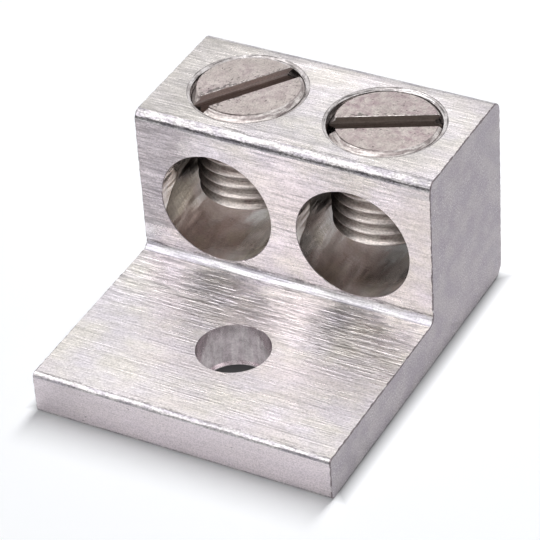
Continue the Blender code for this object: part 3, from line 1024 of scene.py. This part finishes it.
def slot_metal(hand, turn):
    """Sawn slot: brown and rough with saw lines along it. It is painted dark low down, as
    shade, and its walls paler in the left screw, as light. A pale band along its walls,
    stronger in the left screw, is a painted highlight."""
    material, tree, shader = new_material(f"slot_{hand}", 0.6)
    # Painted shade low in the slot, and painted light on its walls, paler in the left screw
    if hand == "left":
        painted_shade_low_tone, wall_tone, ridge_highlight_share = (0.35, 0.28, 0.255), (0.84, 0.71, 0.67), 0.9
    else:
        painted_shade_low_tone, wall_tone, ridge_highlight_share = (0.30, 0.25, 0.225), (0.48, 0.41, 0.37), 0.25
    saw = grain(tree, (4 * MM, 0.5 * MM, 0.10 * MM), 3.0, 0.65, 2.0, turn)
    fleck = grain(tree, (0.22 * MM, 0.22 * MM, 0.18 * MM), 3.0, 0.65, 1.9, turn)
    _, _, z = where(tree)
    height = mixed(tree, (z, 1.0), (minus(tree, saw, 0.5), 0.8 * MM))
    tone = graded(tree, height, -0.95 * MM, -0.65 * MM, painted_shade_low_tone, wall_tone)
    # Painted highlight: a pale band along the walls
    ridge_highlight = times(
        tree,
        remap(tree, height, -0.80 * MM, -0.74 * MM, 0, 1),
        remap(tree, height, -0.62 * MM, -0.56 * MM, 1, 0),
    )
    tone = blend_colour(tree, times(tree, ridge_highlight, ridge_highlight_share), tone, (0.98, 0.90, 0.87))
    shade = times(
        tree,
        remap(tree, fleck, 0.3, 0.6, 0.78, 1.05),
        remap(tree, saw, 0.35, 0.65, 0.82, 1.06),
    )
    paint(tree, shader, tone, shade)
    shader.inputs["Roughness"].default_value = 0.52
    emboss(tree, shader, (saw, 0.030 * MM, 1.0))
    return material


def body_surface(centre, normal):
    """Which of the body's metals a face takes, from where it lies and which way it faces."""
    x, y, z = centre
    end = BODY_WIDTH / 2
    if abs(x) > end - 0.2 * END_BEVEL and abs(normal.x) > 0.99:
        return "cut"
    if abs(x) > end - 2.5 * END_BEVEL and abs(normal.x) > 0.05:
        return "nicked"
    from_bolt = math.hypot(x, y - (TIP_Y + BOLT_HOLE_FROM_TIP))
    if abs(normal.z) < 0.9 and from_bolt < BOLT_HOLE_RADIUS + 0.9 * HOLE_RIM_BEVEL:
        return "punched" if z < TONGUE_THICKNESS - HOLE_RIM_BEVEL else "nicked"
    if y > BLOCK_FRONT_Y - MM:
        from_screw = math.hypot(abs(x) - WIRE_WAY_X, y - SCREW_Y)
        from_way = math.hypot(abs(x) - WIRE_WAY_X, z - WIRE_WAY_Z)
        by_screw = z > WIRE_WAY_Z and from_screw < COUNTERSINK_RADIUS
        if by_screw and from_way > WIRE_WAY_RADIUS + CLOSE:
            return "tapped"
        if from_way < WIRE_WAY_RADIUS + 0.15 * MOUTH_BEVEL:
            return "drilled"
        if from_way < WIRE_WAY_RADIUS + 0.99 * MOUTH_BEVEL:
            return "nicked"
    if abs(normal.x) < 0.01 and max(abs(normal.y), abs(normal.z)) < 0.998:
        from_fillet = math.hypot(y - BLOCK_FRONT_Y, z - TONGUE_THICKNESS)
        return "fillet" if from_fillet < 1.1 * INNER_FILLET_RADIUS else "corner_painted_shade"
    return "extruded"


def screw_surface(centre, normal):
    """Which of a screw's metals a face takes, in the screw's own frame, its slot along X."""
    _, y, z = centre
    if normal.z > 0.9 and z > -CLOSE / 2:
        return "face"
    if z > -SLOT_DEPTH - CLOSE / 2 and abs(y) < SLOT_WIDTH / 2 + CLOSE:
        return "slot"
    if normal.z < -0.9 and z < CLOSE - SCREW_LENGTH:
        return "face"
    return "thread"


def dress(obj, metals, surface):
    """Give each face the metal that surface names for it."""
    mesh = obj.data
    mesh.materials.clear()
    for metal in metals.values():
        mesh.materials.append(metal)
    order = list(metals)
    for polygon in mesh.polygons:
        polygon.material_index = order.index(surface(polygon.center, polygon.normal))
    mesh.shade_smooth()
    mesh.set_sharp_from_angle(angle=SMOOTH_ANGLE)


def make_floor():
    """A white table that keeps the shadow. Under the lug and a little beyond its ends its
    colour is darkened, a painted contact shadow that shows in the bolt hole and in the
    narrow gaps below the lug's edges."""
    bm = bmesh.new()
    bmesh.ops.create_grid(bm, x_segments=1, y_segments=1, size=TABLE_HALF)
    floor = add_object("table", bm)
    floor.location.z = -TABLE_BELOW
    material, tree, shader = new_material("table_white", 0.0)
    x, y, _ = where(tree)
    off_x = minus(tree, maths(tree, "ABSOLUTE", x), BODY_WIDTH / 2)
    off_y = minus(tree, maths(tree, "ABSOLUTE", y), BODY_LENGTH / 2)
    # Painted shadow: darkened under the lug and up to 1.4 mm beyond its ends
    clear = maths(
        tree,
        "MAXIMUM",
        remap(tree, off_x, -0.5 * MM, 1.4 * MM, 0.0, 1.0),
        remap(tree, off_y, -2.0 * MM, 0.0, 0.0, 1.0),
    )
    paint(tree, shader, TABLE_COLOUR, remap(tree, clear, 0, 1, 0.14, 1.0))
    shader.inputs["Roughness"].default_value = 0.9
    shader.inputs["Specular IOR Level"].default_value = 0.0

    # It glows a little: to the camera where it is clear of the lug, and in reflections,
    # more under the lug, where the glow is painted light on what mirrors it
    path = add(tree, "LightPath").outputs
    seen = maths(tree, "MAXIMUM", path["Is Camera Ray"], path["Is Transmission Ray"])
    level = times(tree, seen, clear, 0.24)
    mirrored = times(tree, path["Is Glossy Ray"], remap(tree, clear, 0, 1, 0.42, 0.25))
    level = maths(tree, "MAXIMUM", level, mirrored)
    shader.inputs["Emission Color"].default_value = (1, 1, 1, 1)
    socket(tree, shader.inputs["Emission Strength"], level)
    floor.data.materials.append(material)


def make_card():
    """A dark card round the front of the table, low and out of the picture: rounded
    corners of metal show it as a thin dark line."""
    bm = bmesh.new()
    edges = []
    for step in range(CARD_STEPS + 1):
        angle = math.radians(CARD_MIDDLE + CARD_SPREAD * (2 * step / CARD_STEPS - 1))
        place = Vector((math.sin(angle), -math.cos(angle), 0)) * CARD_DISTANCE
        edges.append([bm.verts.new(place), bm.verts.new(place + Vector((0, 0, CARD_HEIGHT)))])
    for (low, high), (next_low, next_high) in zip(edges, edges[1:]):
        bm.faces.new((low, next_low, next_high, high))
    card = add_object("dark_card", bm)
    material, _, shader = new_material("card_black", 0.0)
    shader.inputs["Base Color"].default_value = (0.03, 0.028, 0.03, 1)
    shader.inputs["Roughness"].default_value = 0.9
    card.data.materials.append(material)
    card.visible_camera = False
    card.visible_diffuse = False
    card.visible_shadow = False


def make_world():
    """White all round to the camera and in reflections. The light that it gives is dim,
    and a little stronger from behind."""
    world = bpy.data.worlds.new("studio")
    bpy.context.scene.world = world
    world.use_nodes = True
    tree = world.node_tree
    background = tree.nodes["Background"]
    direction = add(tree, "TexCoord").outputs["Generated"]
    _, y, _ = add(tree, "SeparateXYZ", direction).outputs
    level = remap(tree, y, -0.6, 0.6, 0.11, 0.17)
    dome = blend_colour(tree, level, (0, 0, 0), (0.95, 0.98, 1.06))
    path = add(tree, "LightPath").outputs
    seen = maths(tree, "MAXIMUM", path["Is Camera Ray"], path["Is Glossy Ray"])
    seen = maths(tree, "MAXIMUM", seen, path["Is Transmission Ray"])
    socket(tree, background.inputs["Color"], blend_colour(tree, seen, dome, (1.0, 1.0, 1.0)))
    background.inputs["Strength"].default_value = 1.0


def add_softbox(name, place, aim, size, radiance):
    """A rectangular lamp that the camera doesn't see."""
    light = bpy.data.lights.new(name, "AREA")
    light.shape = "RECTANGLE"
    light.size, light.size_y = size
    light.energy = radiance * math.pi * size[0] * size[1]
    lamp = bpy.data.objects.new(name, light)
    bpy.context.collection.objects.link(lamp)
    lamp.location = place
    toward = Vector(aim) - Vector(place)
    lamp.rotation_euler = toward.to_track_quat("-Z", "Y").to_euler()
    lamp.visible_camera = False
    return lamp


def make_camera():
    azimuth, elevation, roll = map(
        math.radians, (CAMERA_AZIMUTH, CAMERA_ELEVATION, CAMERA_ROLL)
    )
    back = Vector(
        (
            math.sin(azimuth) * math.cos(elevation),
            -math.cos(azimuth) * math.cos(elevation),
            math.sin(elevation),
        )
    )
    level = Vector((0, 0, 1)).cross(back).normalized()
    right = math.cos(roll) * level - math.sin(roll) * back.cross(level)
    up = back.cross(right)
    turn = Matrix((right, up, back)).transposed().to_4x4()
    data = bpy.data.cameras.new("camera")
    data.sensor_width = SENSOR_WIDTH
    data.sensor_fit = "HORIZONTAL"
    data.lens = SENSOR_WIDTH * CAMERA_FOCAL_PIXELS / IMAGE_WIDTH
    data.clip_start = CAMERA_NEAR
    data.clip_end = CAMERA_FAR
    camera = bpy.data.objects.new("camera", data)
    bpy.context.collection.objects.link(camera)
    camera.matrix_world = Matrix.Translation(CAMERA_TARGET + CAMERA_DISTANCE * back) @ turn
    bpy.context.scene.camera = camera


body = make_body()
body_metals = {
    "extruded": extruded_metal(),
    "cut": cut_metal(),
    "drilled": drilled_metal(),
    "punched": punched_metal(),
    "tapped": tapped_metal(),
    "corner_painted_shade": corner_painted_shade_metal(),
    "nicked": nicked_metal(),
    "fillet": fillet_metal(),
}
dress(body, body_metals, body_surface)
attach(body, "body")
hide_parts("lug_body")

thread_metal = screw_thread_metal()
for hand, side, proud, slot_angle in SET_SCREWS:
    turn = math.radians(slot_angle)
    screw = make_screw(f"set_screw_{hand}_fine", side, proud)
    screw_metals = {
        "face": screw_face_metal(hand, turn),
        "thread": thread_metal,
        "slot": slot_metal(hand, turn),
    }
    dress(screw, screw_metals, screw_surface)
    screw.data.transform(Matrix.Rotation(turn, 4, "Z"))
    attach(screw, f"{hand}_screw")
    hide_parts(f"set_screw_{hand}")

make_floor()
make_card()
make_world()

# The metal mirrors only the front lamp, and only the back one lights the table
front = add_softbox("front_softbox", *FRONT_SOFTBOX)
front.visible_diffuse = False
back = add_softbox("back_softbox", *BACK_SOFTBOX)
back.visible_glossy = False
make_camera()
bpy.context.scene.view_settings.view_transform = "Standard"
